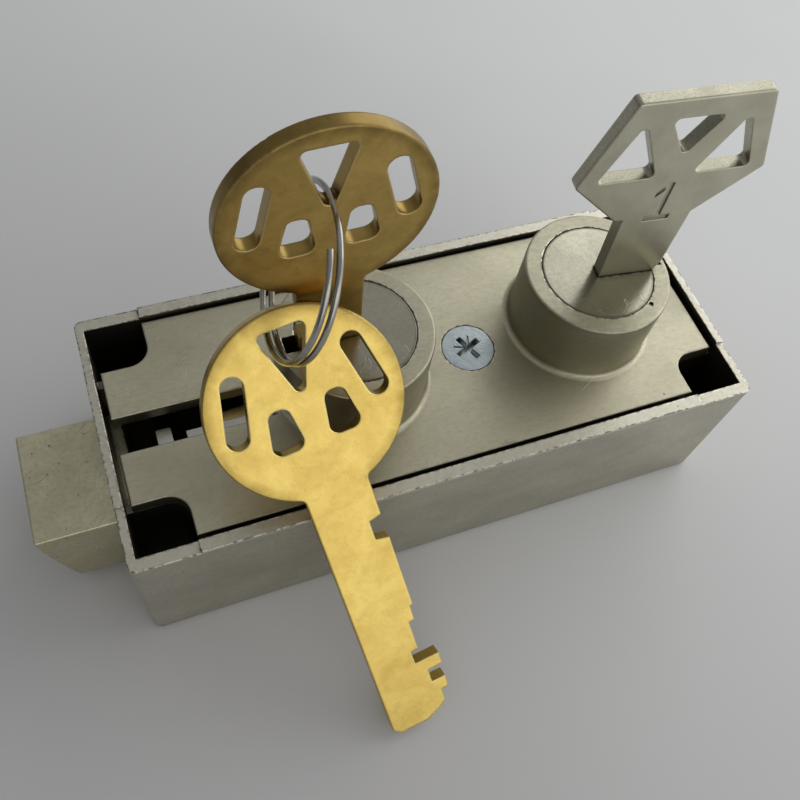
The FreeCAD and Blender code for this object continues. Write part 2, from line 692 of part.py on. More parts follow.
def coil_gap(edges):
    """Least gap between the wire's neighbouring turns, measured on points along its middle."""
    points = []
    for edge in edges:
        points += edge.discretize(40)[:-1]
    per_turn = int(len(points) / RING_TURNS)
    least = min((points[i] - points[j]).Length
                for i in range(len(points)) for j in range(i + per_turn // 2, len(points)))
    return least - RING_WIRE


def make_key_ring():
    """Split ring: one wire wound in a short coil about the ring's own axis."""
    edges = []
    quarters = round(RING_TURNS * 4)
    for quarter in range(quarters):
        edges += biarc(quarter / 4, (quarter + 1) / 4)
    print("least gap between the ring's turns", round(coil_gap(edges), 3))
    section = Part.Wire(Part.makeCircle(RING_WIRE / 2, coil_point(0), coil_direction(0)))
    wire = Part.Wire(edges).makePipeShell([section], True, False)
    tilt = math.radians(RING_TILT)
    turn = math.radians(RING_TURN)
    axis = vec(math.sin(tilt) * math.cos(turn), math.sin(tilt) * math.sin(turn), math.cos(tilt))
    level = axis.cross(vec(0, 0, 1)).normalize()
    return set_on(wire, from_nose(RING_CENTRE), level, axis.cross(level))


def make_bolt():
    half_x = CASE_LENGTH / 2
    tip = -half_x - BOLT_REACH
    foot = tip + BOLT_NOSE_SETBACK
    bulge = vec(tip + BOLT_NOSE_SETBACK / 2 - BOLT_NOSE_BULGE / 3, 0, (bolt_bottom + BOLT_TOP) / 2)
    top_corner = vec(tip, 0, BOLT_TOP)
    foot_corner = vec(foot, 0, bolt_bottom)
    inner_foot = vec(bolt_inner_end, 0, bolt_bottom)
    inner_top = vec(bolt_inner_end, 0, BOLT_TOP)
    edges = [Part.Arc(top_corner, bulge, foot_corner).toShape()]
    edges.append(Part.LineSegment(foot_corner, inner_foot).toShape())
    edges.append(Part.LineSegment(inner_foot, inner_top).toShape())
    edges.append(Part.LineSegment(inner_top, top_corner).toShape())
    head = Part.Face(Part.Wire(edges)).extrude(vec(0, 2 * BOLT_HALF_WIDTH))
    head.translate(vec(0, -BOLT_HALF_WIDTH))
    head = fillet_edges(head, BOLT_EDGE, lambda edge: edge.BoundBox.XMin < -half_x - 1)
    return head.fuse([make_tail()]).removeSplitter()


def make_tail():
    """Flat tail behind the bolt head, which carries both fences and is driven by the crank pin."""
    fence_x = guard_x + GUARD_MOUTH - FENCE_RUN_UP
    stud_room = CAM_STUD_RADIUS + BOLT_GUIDE_GAP
    stud_slot_end = renter_x + stud_room
    plate = box(bolt_inner_end - 1, stud_slot_end + TAIL_WEB, TAIL_LOW, TAIL_HIGH, bolt_bottom, tail_top)
    prong_start = renter_x - PRONG_BEHIND_PLUG
    prong = box(prong_start, fence_x + PRONG_PAST_FENCE, PRONG_LOW, PRONG_HIGH, bolt_bottom, tail_top)
    web = box(prong_start, stud_slot_end + TAIL_WEB, PRONG_HIGH - 1, TAIL_LOW + 1, bolt_bottom, tail_top)
    start = math.radians(CRANK_START_ANGLE)
    pin_x = renter_x + CRANK_RADIUS * math.cos(start)
    half = CRANK_PIN + CRANK_PLAY
    low = NOSE_Y + CRANK_RADIUS * math.sin(start) - CRANK_PIN - GATE_END_GAP
    high = NOSE_Y + CRANK_RADIUS + CRANK_PIN + GATE_END_GAP
    wall = half + CRANK_LUG_WALL
    lug = box(pin_x - wall, pin_x + wall, TAIL_HIGH - 1, high + CRANK_LUG_WALL, bolt_bottom, tail_top)
    tail = plate.fuse([prong, web, lug])
    crank_slot = box(pin_x - half, pin_x + half, low, high, bolt_bottom - 1, tail_top + 1)
    ends = (renter_x - bolt_throw, NOSE_Y), (renter_x, NOSE_Y)
    stud_slot = stadium(ends[0], ends[1], stud_room, bolt_bottom - 1, tail_top + 1)
    return tail.cut([crank_slot, stud_slot]).removeSplitter()


def make_fence(lever_x, mouth, y):
    """Upright bar on the bolt's tail that enters the gates of the lifted levers."""
    front = lever_x + mouth - FENCE_RUN_UP
    half = FENCE_HALF_WIDTH
    fence = box(front - FENCE_LENGTH, front, y - half, y + half, tail_top, fence_top)
    return fillet_edges(fence, FENCE_EDGE, upright)


def make_cam():
    """Drive disc under the renter plug: the key's tip turns it, and it carries the crank pin."""
    foot = tail_top + CAM_TAIL_GAP
    disc = rod(renter_x, NOSE_Y, CAM_RADIUS, foot, cam_top)
    stud_hole = rod(renter_x, NOSE_Y, CAM_STUD_RADIUS + RUNNING_GAP, foot - 1, cam_stud_top + CAM_STUD_GAP)
    tip_slot = leaned(key_slot(renter_x, 180.0, key_tip_z - KEY_TIP_GAP, cam_top + 1), RENTER_KEY_LEAN)
    return disc.cut([stud_hole, tip_slot, crank_rod(cam_top)])


def crank_rod(top):
    start = math.radians(CRANK_START_ANGLE)
    x = renter_x + CRANK_RADIUS * math.cos(start)
    y = NOSE_Y + CRANK_RADIUS * math.sin(start)
    return rod(x, y, CRANK_PIN, bolt_bottom + CRANK_FOOT_GAP, top)


def key_radius(bit, height, lean):
    """How far a bit reaches from the plug's axis at a lever's height, with the key leaning."""
    lean = math.radians(lean)
    inwards = BLADE_WIDTH - bit
    return BLADE_BACK + BLADE_WIDTH - inwards * math.cos(lean) - (nose_top - height) * math.sin(lean)


def lever_outline(mouth, arm, z0, z1):
    """Body of a lever in its lifted pose, with the key's axis at the origin and lifting along +Y."""
    outer = KEY_CLEAR_RADIUS + LEVER_BAR
    big = 2 * outer
    keep = prism([(0, 0), (big, big * 0.1), (big, big), (-big, big), (-big, arm[0]), (0, arm[0])], z0, z1)
    bar = rod(0, 0, outer, z0, z1).common(keep)
    hub = rod(HUB_X, HUB_Y, HUB_RADIUS, z0, z1)
    arm_bar = box(mouth, -KEY_CLEAR_RADIUS / 2, arm[0], arm[1], z0, z1)
    body = bar.fuse([hub, arm_bar])
    at_rest = turned(rod(0, 0, KEY_CLEAR_RADIUS, z0 - 1, z1 + 1), HUB_X, HUB_Y, -LEVER_SWING)
    return body.cut([rod(0, 0, KEY_CLEAR_RADIUS, z0 - 1, z1 + 1), at_rest]).removeSplitter()


def gate_cut(mouth, gate_y, z0, z1):
    """Gate for the fence, flared on the side from which the fence comes in."""
    half = FENCE_HALF_WIDTH + GATE_GAP
    depth = bolt_throw - FENCE_RUN_UP + GATE_END_GAP
    lifted_share = FENCE_RUN_UP / bolt_throw
    left = math.radians(LEVER_SWING * (1 - lifted_share))
    flare = (HUB_X - mouth) * math.sin(left)
    end = mouth + depth
    points = [(mouth - 3, gate_y - half), (end, gate_y - half), (end, gate_y + half)]
    points += [(mouth, gate_y + half + flare), (mouth - 3, gate_y + half + flare)]
    return prism(points, z0 - 1, z1 + 1)


def make_lever(reach, mouth, gate_y, arm, height):
    """One lever in its lifted pose; its pad reaches down to the key's own bit."""
    z0 = height - LEVER_THICKNESS / 2
    z1 = height + LEVER_THICKNESS / 2
    body = lever_outline(mouth, arm, z0, z1)
    pad = box(PAD_LEFT, PAD_RIGHT, reach + BIT_GAP, KEY_CLEAR_RADIUS + LEVER_BAR / 2, z0, z1)
    pivot_hole = rod(HUB_X, HUB_Y, PIVOT_RADIUS + RUNNING_GAP, z0 - 1, z1 + 1)
    body = body.fuse(pad).cut([pivot_hole, gate_cut(mouth, gate_y, z0, z1), spring_root(z0 - 1, z1 + 1)])
    return body.removeSplitter()


def spring_top():
    """Highest point of the lever's bar where the spring stands in its slit."""
    outer = KEY_CLEAR_RADIUS + LEVER_BAR
    return math.sqrt(outer ** 2 - SPRING_ROOT_X ** 2)


def spring_root(z0, z1):
    half = SPRING_STRIP / 2
    top = spring_top()
    return box(SPRING_ROOT_X - half, SPRING_ROOT_X + half, top - SPRING_ROOT_DEPTH, top + 1, z0, z1)


def make_spring(height, wall):
    """Leaf spring standing in the lever's slit and bent over to slide on the case's wall."""
    z0 = height - SPRING_HEIGHT / 2
    z1 = height + SPRING_HEIGHT / 2
    half = SPRING_STRIP / 2
    tip = vec(SPRING_TIP_X, wall - SPRING_WALL_GAP - half)
    foot = vec(SPRING_ROOT_X, spring_top() - SPRING_ROOT_DEPTH)
    bend = vec(SPRING_ROOT_X, spring_top() + SPRING_BEND_RISE)
    crown = vec(SPRING_ROOT_X + SPRING_CROWN_RUN, tip.y - SPRING_CROWN_SAG)
    curl = vec(SPRING_TIP_X + SPRING_CURL_RUN, tip.y - SPRING_CURL_SAG)
    mid = vec((SPRING_ROOT_X + SPRING_TIP_X) / 2 + SPRING_MID_RUN, tip.y - SPRING_MID_SAG)
    bow = vec(bend.x + SPRING_BEND_RUN, crown.y - SPRING_CROWN_RISE)
    strips = [strip_along(foot, bend, half), strip_arc(bend, bow, crown, half)]
    strips += [strip_arc(crown, mid, tip, half), strip_along(tip, curl, half)]
    faces = strips + [Part.Face(Part.Wire(Part.makeCircle(half, p))) for p in (bend, crown, tip)]
    solids = [face.extrude(vec(0, 0, z1 - z0)) for face in faces]
    solid = solids[0].fuse(solids[1:]).removeSplitter()
    solid.translate(vec(0, 0, z0))
    return solid


def strip_along(start, end, half):
    """Flat strip of the spring's thickness along a straight run."""
    side = (end - start).normalize()
    across = vec(-side.y, side.x) * half
    outline = [start - across, end - across, end + across, start + across, start - across]
    return Part.Face(Part.makePolygon(outline))


def strip_arc(start, middle, end, half):
    """Flat strip of the spring's thickness along an arc."""
    circle = Part.Arc(start, middle, end).toShape().Curve
    centre = circle.Center
    wide = (circle.Radius + half) / circle.Radius
    narrow = (circle.Radius - half) / circle.Radius
    outer = [centre + (p - centre) * wide for p in (start, middle, end)]
    inner = [centre + (p - centre) * narrow for p in (end, middle, start)]
    edges = [Part.Arc(*outer).toShape(), Part.LineSegment(outer[2], inner[0]).toShape()]
    edges += [Part.Arc(*inner).toShape(), Part.LineSegment(inner[2], outer[0]).toShape()]
    return Part.Face(Part.Wire(edges))


def on_renter_side(solid):
    """From the levers' own frame, lifted, to the renter side at rest."""
    resting = turned(solid, HUB_X, HUB_Y, LEVER_SWING)
    resting.translate(vec(renter_x, NOSE_Y))
    return resting


def on_guard_side(solid):
    """The same for the guard side, which is mirrored."""
    resting = turned(solid, HUB_X, HUB_Y, LEVER_SWING).mirror(vec(0, 0), vec(0, 1))
    resting.translate(vec(guard_x, NOSE_Y))
    return resting


def lever_foot(number):
    return lever_height(number) - LEVER_THICKNESS / 2 - LEVER_PLATE_GAP


def pivot_post(x, y, lowest):
    """Stepped post: a thick foot under the levers, the pivot, and a spigot in the lever plate."""
    foot = rod(x, y, PIVOT_FOOT_RADIUS, FLOOR, lever_foot(lowest))
    pivot = rod(x, y, PIVOT_RADIUS, lever_foot(lowest), plate_under)
    return foot.fuse([pivot, rod(x, y, PIN_SPIGOT, plate_under, plate_top)]).removeSplitter()


def stop_centre(stop_x, arm, mirror):
    """Centre of the stop pin, just under the arm of a lever at rest."""
    point = FreeCAD.Rotation(vec(0, 0, 1), LEVER_SWING).multVec(
        vec(stop_x - HUB_X, arm[0] - STOP_RADIUS - STOP_GAP - HUB_Y))
    x = HUB_X + point.x
    y = HUB_Y + point.y
    if mirror:
        return guard_x + x, NOSE_Y - y
    return renter_x + x, NOSE_Y + y


def stop_pin(x, y):
    pin = rod(x, y, STOP_RADIUS, FLOOR, plate_under)
    return pin.fuse(rod(x, y, PIN_SPIGOT, plate_under, plate_top)).removeSplitter()


def lever_plate(x, hub, stop, reach, sides):
    """Thin plate over the levers, held by the pivot post and the stop pin."""
    z0 = plate_under
    z1 = plate_top
    ring = rod(x, NOSE_Y, KEY_CLEAR_RADIUS + LEVER_BAR, z0, z1)
    hub_ear = stadium((x, NOSE_Y), hub, HUB_RADIUS, z0, z1)
    low, high = sides
    arm_y = [min(low, stop[1] - 2 * PIN_SPIGOT), high]
    arm = box(min(x + reach, x), max(x + reach, x), arm_y[0], arm_y[1], z0, z1)
    if stop[1] > low:
        arm = arm.fuse(stadium((x, NOSE_Y), stop, 2 * PIN_SPIGOT, z0, z1))
    plate = ring.fuse([hub_ear, arm])
    room = rod(x, NOSE_Y, KEY_CLEAR_RADIUS, z0 - 1, z1 + 1)
    spigots = [rod(place[0], place[1], PIN_SPIGOT, z0 - 1, z1 + 1) for place in (hub, stop)]
    return plate.cut([room] + spigots).removeSplitter()


def save(name, solid):
    solid.exportStep("parts/" + name + ".step")
    bounds = solid.BoundBox
    print(name, "solids", len(solid.Solids), "valid", solid.isValid(), "volume", round(solid.Volume, 1),
          "z", round(bounds.ZMin, 2), round(bounds.ZMax, 2))


def main():
    os.makedirs("parts", exist_ok=True)
    save("case", make_case())
    save("cover_plate", make_cover())
    save("cover_screw", make_cover_screw())
    save("bolt", make_bolt())
    save("renter_fence", make_fence(renter_x, RENTER_MOUTH, NOSE_Y + RENTER_GATE_Y))
    save("guard_fence", make_fence(guard_x, GUARD_MOUTH, NOSE_Y - GUARD_GATE_Y))
    save("renter_plug", make_plug(renter_x, 180.0, RENTER_KEY_LEAN))
    save("guard_plug", make_plug(guard_x, GUARD_REST_ANGLE, 0.0))
    save("renter_key", make_renter_key())
    save("guard_key", make_guard_key())
    save("spare_key", make_spare_key())
    save("key_ring", make_key_ring())
    save("drive_cam", make_cam())
    save("crank_pin", crank_rod(cam_top))
    for number in range(1, RENTER_LEVERS + 1):
        height = lever_height(number)
        reach = key_radius(RENTER_BITS[number - 1], height, RENTER_KEY_LEAN)
        lever = make_lever(reach, RENTER_MOUTH, RENTER_GATE_Y, RENTER_ARM, height)
        save(f"renter_lever_{number}", on_renter_side(lever))
        save(f"renter_spring_{number}", on_renter_side(make_spring(height, inner_y - NOSE_Y)))
    for number in range(1, GUARD_LEVERS + 1):
        place = number + RENTER_LEVERS - GUARD_LEVERS
        height = lever_height(place)
        reach = key_radius(GUARD_BITS[place - 1], height, 0.0)
        lever = make_lever(reach, GUARD_MOUTH, GUARD_GATE_Y, GUARD_ARM, height)
        save(f"guard_lever_{number}", on_guard_side(lever))
        save(f"guard_spring_{number}", on_guard_side(make_spring(height, inner_y + NOSE_Y)))
    renter_hub = (renter_x + HUB_X, NOSE_Y + HUB_Y)
    guard_hub = (guard_x + HUB_X, NOSE_Y - HUB_Y)
    renter_stop = stop_centre(RENTER_STOP_X, RENTER_ARM, False)
    guard_stop = stop_centre(GUARD_STOP_X, GUARD_ARM, True)
    save("renter_pivot_post", pivot_post(renter_hub[0], renter_hub[1], 1))
    save("guard_pivot_post", pivot_post(guard_hub[0], guard_hub[1], RENTER_LEVERS - GUARD_LEVERS + 1))
    save("renter_stop_pin", stop_pin(*renter_stop))
    save("guard_stop_pin", stop_pin(*guard_stop))
    renter_plate = lever_plate(renter_x, renter_hub, renter_stop, LEVER_PLATE_REACH, RENTER_PLATE_SIDES)
    guard_plate = lever_plate(guard_x, guard_hub, guard_stop, GUARD_STOP_X, GUARD_PLATE_SIDES)
    save("renter_lever_plate", renter_plate)
    save("guard_lever_plate", guard_plate)
    print("bolt throw", round(bolt_throw, 3))
    print("renter hub", renter_hub, "guard hub", guard_hub, "stops", renter_stop, guard_stop)


main()
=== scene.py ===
import bpy
from mathutils import Matrix, Vector


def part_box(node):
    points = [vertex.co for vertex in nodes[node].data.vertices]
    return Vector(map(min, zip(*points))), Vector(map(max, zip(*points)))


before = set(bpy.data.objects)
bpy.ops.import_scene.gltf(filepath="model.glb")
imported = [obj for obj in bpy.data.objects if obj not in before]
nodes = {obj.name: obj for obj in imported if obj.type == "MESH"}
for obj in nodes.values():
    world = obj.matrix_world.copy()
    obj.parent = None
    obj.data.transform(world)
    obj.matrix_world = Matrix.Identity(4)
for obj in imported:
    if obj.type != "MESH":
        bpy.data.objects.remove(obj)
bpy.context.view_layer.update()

MM = 1000.0

# Camera worked out from the photograph: its place in metres, and its right, up and backward directions
CAMERA_PLACE = (-0.044627, -0.068974, 0.152714)
CAMERA_RIGHT = (0.93221, -0.34384, 0.11299)
CAMERA_UP = (0.24674, 0.83216, 0.49661)
CAMERA_BACK = (-0.26478, -0.43506, 0.86059)
LENS = 38.185
SENSOR = 36.0
NEAREST_SEEN = 0.005

# Soft light from a window at the right and from the room in front: place, target, size, power, colour
WINDOW_LIGHT = ((0.70, 0.24, 0.36), (0.03, 0.02, 0.0), (1.2, 0.85), 4.1, (1.0, 1.0, 0.99))
FRONT_LIGHT = ((0.36, -0.74, 0.30), (0.26, 0.0, 0.04), (1.7, 0.62), 2.8, (1.0, 0.98, 0.94))

# The room's light rises along this direction, from the dark value to the bright one
ROOM_BRIGHT_WAY = (0.50, 0.20, 0.80)
ROOM_FROM = -0.5
ROOM_TO = 0.9
ROOM_DARK = 0.12
ROOM_BRIGHT = 0.64
ROOM_STRENGTH = 0.62

# The paper's half width, and its painted light: how its tone goes from grey to pale along a direction
FLOOR_HALF = 1.6
PAPER_PALE_WAY = (0.80, 0.60, 0.0)
PAPER_FROM = -0.06
PAPER_TO = 0.10
PAPER_SHADED_GREY = (0.61, 0.61, 0.62)
PAPER_LIT_PALE = (0.90, 0.92, 0.92)
PAPER_SOFT_SHADE = (0.56, 0.565, 0.57)

# Directions that the flat keys' faces look in
SPARE_FACE = (0.0, -0.736, 0.677)
RENTER_FACE = (0.0, 1.0, 0.0)
GUARD_FACE = (0.113, 0.993, 0.034)

# Middles of the round bows, and where the blades leave them
SPARE_BOW = (-0.0251, -0.0116, 0.0458)
SPARE_BLADE_ROOT = (-0.0239, -0.0214, 0.0352)
RENTER_BOW = (-0.0189, 0.0006, 0.0713)
RENTER_BLADE_ROOT = (-0.0174, 0.0006, 0.0569)

# Painted dark reflection in a band just inside the bow's rim, and the blade's root that stays free of it
RIM_DARK_STARTS = 0.0130
RIM_DARK_FULL = 0.0150
RIM_DARK_ENDS = 0.0165
ROOT_UNDARKENED = 0.0048
ROOT_DARKENED = 0.0068

# Case walls, a little thinner than they are, so that the inside counts as inside
END_WALL = 0.00135
SIDE_WALL = 0.00205
ABOVE_BACK = 0.0001

# Plugs, and the band of painted shade at the edge of each face
PLUG_AXES = (-0.013, 0.0306)
PLUG_Y = 0.0006
PLUG_RADIUS = 0.00975
PLUG_BAND_STARTS = 0.00055
PLUG_BAND_FULL = 0.0002

# How far below the top the rim of the case and the tops of the noses take their own tone; the noses' tops get
# painted shade, the rim a lighter tone
RIM_DEPTH = 0.0008
NOSE_TOP_DEPTH = 0.0005
TOP_BLEND = 0.0002

WORN_EDGE = (0.90, 0.87, 0.78)
UPWARDS = (0.0, 0.0, 1.0)

case_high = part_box("case")[1]
nose_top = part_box("cover_plate")[1][2]


def make_camera():
    data = bpy.data.cameras.new("camera")
    data.lens = LENS
    data.sensor_width = SENSOR
    data.clip_start = NEAREST_SEEN
    camera = bpy.data.objects.new("camera", data)
    bpy.context.scene.collection.objects.link(camera)
    columns = Matrix((CAMERA_RIGHT, CAMERA_UP, CAMERA_BACK)).transposed()
    camera.matrix_world = Matrix.Translation(CAMERA_PLACE) @ columns.to_4x4()
    bpy.context.scene.camera = camera


def area_light(name, place, target, size, power, colour):
    data = bpy.data.lights.new(name, "AREA")
    data.shape = "RECTANGLE"
    data.size = size[0]
    data.size_y = size[1]
    data.energy = power
    data.color = colour
    light = bpy.data.objects.new(name, data)
    bpy.context.scene.collection.objects.link(light)
    aim = Vector(target) - Vector(place)
    turn = aim.to_track_quat("-Z", "Y").to_matrix().to_4x4()
    light.matrix_world = Matrix.Translation(place) @ turn


def shade(colour, share):
    return tuple(c * share for c in colour)


class Nodes:
    """Small helper that builds one material's node tree."""

    def __init__(self, name):
        self.material = bpy.data.materials.new(name)
        self.material.use_nodes = True
        self.tree = self.material.node_tree
        self.shader = self.tree.nodes["Principled BSDF"]
        self.place = self.add("ShaderNodeTexCoord").outputs["Object"]

    def add(self, kind, **settings):
        node = self.tree.nodes.new(kind)
        for key, value in settings.items():
            setattr(node, key, value)
        return node

    def link(self, source, target):
        self.tree.links.new(source, target)

    def stretched(self, scale):
        """Object coordinates in millimetres, stretched by a scale on each axis."""
        mapping = self.add("ShaderNodeMapping")
        mapping.inputs["Scale"].default_value = [MM * s for s in scale]
        self.link(self.place, mapping.inputs["Vector"])
        return mapping.outputs["Vector"]

    def noise(self, per_mm, detail=4.0, roughness=0.55, stretch=(1, 1, 1), distortion=0.0):
        node = self.add("ShaderNodeTexNoise")
        node.inputs["Scale"].default_value = per_mm
        node.inputs["Detail"].default_value = detail
        node.inputs["Roughness"].default_value = roughness
        node.inputs["Distortion"].default_value = distortion
        self.link(self.stretched(stretch), node.inputs["Vector"])
        return node.outputs["Fac"]

    def cells(self, per_mm):
        """Distance to the nearest of the points that are strewn through the metal."""
        node = self.add("ShaderNodeTexVoronoi")
        node.inputs["Scale"].default_value = per_mm
        self.link(self.stretched((1, 1, 1)), node.inputs["Vector"])
        return node.outputs["Distance"]

    def ramp(self, value, low, high, from_low=0.0, from_high=1.0):
        node = self.add("ShaderNodeMapRange")
        node.inputs["From Min"].default_value = from_low
        node.inputs["From Max"].default_value = from_high
        node.inputs["To Min"].default_value = low
        node.inputs["To Max"].default_value = high
        self.link(value, node.inputs["Value"])
        return node.outputs["Result"]

    def fill(self, socket, value):
        """Sets a number or a colour on a socket, or links a node's output to it."""
        if isinstance(value, (int, float)):
            socket.default_value = value
        elif isinstance(value, tuple):
            socket.default_value = (*value, 1.0)
        else:
            self.link(value, socket)

    def math(self, operation, a, b):
        node = self.add("ShaderNodeMath", operation=operation)
        self.fill(node.inputs[0], a)
        self.fill(node.inputs[1], b)
        return node.outputs["Value"]

    def product(self, a, b):
        return self.math("MULTIPLY", a, b)

    def mix(self, factor, a, b):
        node = self.add("ShaderNodeMix", data_type="RGBA")
        self.fill(node.inputs[0], factor)
        self.fill(node.inputs[6], a)
        self.fill(node.inputs[7], b)
        return node.outputs[2]

    def axes(self):
        """The object coordinates' three axes, in metres."""
        split = self.add("ShaderNodeSeparateXYZ")
        self.link(self.place, split.inputs[0])
        return split.outputs

    def dot(self, vector, direction):
        node = self.add("ShaderNodeVectorMath", operation="DOT_PRODUCT")
        self.link(vector, node.inputs[0])
        node.inputs[1].default_value = direction
        return node.outputs["Value"]

    def distance(self, vector, point):
        node = self.add("ShaderNodeVectorMath", operation="DISTANCE")
        self.link(vector, node.inputs[0])
        node.inputs[1].default_value = point
        return node.outputs["Value"]

    def rounded_normal(self, radius_mm, samples):
        bevel = self.add("ShaderNodeBevel", samples=samples)
        bevel.inputs["Radius"].default_value = radius_mm / MM
        return bevel.outputs["Normal"]

    def edge_mask(self, radius_mm, low=0.02, high=0.25):
        """1 on sharp edges and 0 on open faces."""
        geometry = self.add("ShaderNodeNewGeometry")
        likeness = self.add("ShaderNodeVectorMath", operation="DOT_PRODUCT")
        self.link(self.rounded_normal(radius_mm, 8), likeness.inputs[0])
        self.link(geometry.outputs["Normal"], likeness.inputs[1])
        turned = self.math("SUBTRACT", 1.0, likeness.outputs["Value"])
        return self.ramp(turned, 0.0, 1.0, low, high)

    def dirt_and_shade(self, reach_mm, open_at=0.85, closed_at=0.45):
        """1 in corners, gaps and engraved strokes, 0 on open faces: dirt and painted shade there, found by
        ambient occlusion.
        """
        shelter = self.add("ShaderNodeAmbientOcclusion", samples=6)
        shelter.inputs["Distance"].default_value = reach_mm / MM
        return self.ramp(shelter.outputs["AO"], 0.0, 1.0, open_at, closed_at)

    def facing(self, direction):
        """1 on faces across the direction, 0 on faces along it."""
        geometry = self.add("ShaderNodeNewGeometry")
        return self.math("ABSOLUTE", self.dot(geometry.outputs["Normal"], direction), 0.0)

    def plate_sides(self, plate):
        """1 on the narrow sides of a flat key, 0 on its faces."""
        return self.ramp(self.facing(plate), 1.0, 0.0, 0.25, 0.75)

    def far_from(self, centre, near, far):
        """0 within the near distance of a point, in metres, and 1 beyond the far one."""
        return self.ramp(self.distance(self.place, centre), 0.0, 1.0, near, far)

    def hairlines(self, per_mm, width, distortion):
        """Thin wandering lines, like scuffs and casting cracks."""
        wander = self.noise(per_mm, 2.0, 0.5, (1, 1, 1), distortion)
        away = self.math("ABSOLUTE", self.math("SUBTRACT", wander, 0.5), 0.0)
        return self.ramp(away, 1.0, 0.0, 0.0, width)

    def finish(self, colour, roughness, height, depth_mm, bevel_mm, metallic=1.0):
        """Joins the shader up, with bump over a small rounding of the edges."""
        self.shader.inputs["Metallic"].default_value = metallic
        self.fill(self.shader.inputs["Base Color"], colour)
        self.fill(self.shader.inputs["Roughness"], roughness)
        bump = self.add("ShaderNodeBump")
        bump.inputs["Strength"].default_value = 1.0
        bump.inputs["Distance"].default_value = depth_mm / MM
        self.link(height, bump.inputs["Height"])
        if bevel_mm > 0:
            self.link(self.rounded_normal(bevel_mm, 6), bump.inputs["Normal"])
        self.link(bump.outputs["Normal"], self.shader.inputs["Normal"])
        return self.material


def cast_nickel(name, colour, dark, pit_amount, roughness, streak, scuffs, inside=None,
                upright_painted_shade=0.0, top=None):
    """Satin nickel plate over a zinc casting: cloudy, pitted, scuffed, with dirt and painted shade in its
    corners.
    """
    n = Nodes(name)
    cloud = n.noise(0.09, 5.0, 0.6, streak)
    fine = n.noise(1.6, 5.0, 0.7, streak)
    grain = n.noise(6.0, 3.0, 0.6)
    tone = n.mix(n.ramp(cloud, 0.0, 1.0, 0.36, 0.66), colour, shade(colour, 0.80))
    tone = n.mix(n.ramp(fine, 0.0, 0.5, 0.45, 0.75), tone, dark)

    scuffed_patch = n.ramp(n.noise(0.13, 3.0, 0.6), 0.0, 1.0, 0.52, 0.66)
    lines = n.product(n.hairlines(0.16, 0.006, 1.8), scuffed_patch)
    tone = n.mix(n.product(lines, scuffs), tone, shade(dark, 0.45))

    pits = n.ramp(n.cells(0.55), 1.0, 0.0, 0.05, 0.13)
    pitted_patch = n.ramp(n.noise(0.35, 3.0, 0.6), 0.0, 1.0, 0.62 - pit_amount, 0.68 - pit_amount)
    pitted = n.product(pits, pitted_patch)
    tone = n.mix(pitted, tone, shade(dark, 0.35))

    # A band at the top takes its own tone: painted shade on the noses' tops, a lighter tone on the case's
    # rim.
    if top is not None:
        height_above, top_tone, amount = top
        top_band = n.ramp(n.axes()["Z"], 0.0, amount, height_above - TOP_BLEND, height_above)
        top_band = n.product(top_band, n.ramp(fine, 0.4, 1.0, 0.38, 0.6))
        tone = n.mix(top_band, tone, top_tone)

    chips = n.noise(1.1, 4.0, 0.65)
    edge = n.edge_mask(0.7, 0.01, 0.14)
    worn = n.product(edge, n.ramp(chips, 0.0, 1.0, 0.47, 0.56))
    dirty = n.product(edge, n.ramp(chips, 1.0, 0.0, 0.44, 0.50))
    tone = n.mix(n.product(dirty, 0.9), tone, shade(dark, 0.35))
    tone = n.mix(n.product(worn, 0.7), tone, WORN_EDGE)
    # Dirt and painted shade in corners and gaps, darker where ambient occlusion finds them.
    dirt_and_shade = n.product(n.dirt_and_shade(1.6), n.ramp(fine, 0.55, 1.0, 0.3, 0.6))
    tone = n.mix(n.product(dirt_and_shade, 0.8), tone, shade(dark, 0.16))

    # Painted shade: faces that stand upright are darkened.
    if upright_painted_shade > 0:
        upright = n.ramp(n.facing(UPWARDS), upright_painted_shade, 0.0, 0.3, 0.8)
        tone = n.mix(upright, tone, shade(dark, 0.30))
    # Painted shade inside the case and in a band round each plug's face.
    if inside is not None:
        recess_shade = n.product(inside(n), n.ramp(cloud, 1.0, 0.85, 0.4, 0.6))
        tone = n.mix(recess_shade, tone, shade(dark, 0.5))

    rough = n.math("ADD", n.ramp(cloud, roughness - 0.05, roughness + 0.08), n.ramp(fine, -0.05, 0.07))
    rough = n.math("SUBTRACT", rough, n.product(worn, 0.10))
    height = n.math("ADD", n.product(fine, 0.30), n.product(grain, 0.16))
    height = n.math("SUBTRACT", height, n.math("ADD", pitted, n.product(lines, 0.4)))
    return n.finish(tone, rough, height, 0.06, 0.3)


def case_inside(n):
    """1 on the case's inner walls and floor, which lie in the dark under the cover and get painted shade."""
    axes = n.axes()
    within_x = n.math("LESS_THAN", n.math("ABSOLUTE", axes["X"], 0.0), case_high[0] - END_WALL)
    within_y = n.math("LESS_THAN", n.math("ABSOLUTE", axes["Y"], 0.0), case_high[1] - SIDE_WALL)
    above = n.math("GREATER_THAN", axes["Z"], ABOVE_BACK)
    return n.product(n.product(within_x, within_y), above)


def plug_edge(n):
    """1 in a narrow band round each plug's face, where painted shade darkens its edge."""
    flat = n.add("ShaderNodeVectorMath", operation="MULTIPLY")
    n.link(n.place, flat.inputs[0])
    flat.inputs[1].default_value = (1.0, 1.0, 0.0)
    reaches = [n.distance(flat.outputs["Vector"], (x, PLUG_Y, 0.0)) for x in PLUG_AXES]
    nearest = n.math("MINIMUM", *reaches)
    return n.ramp(nearest, 0.0, 1.0, PLUG_RADIUS - PLUG_BAND_STARTS, PLUG_RADIUS - PLUG_BAND_FULL)


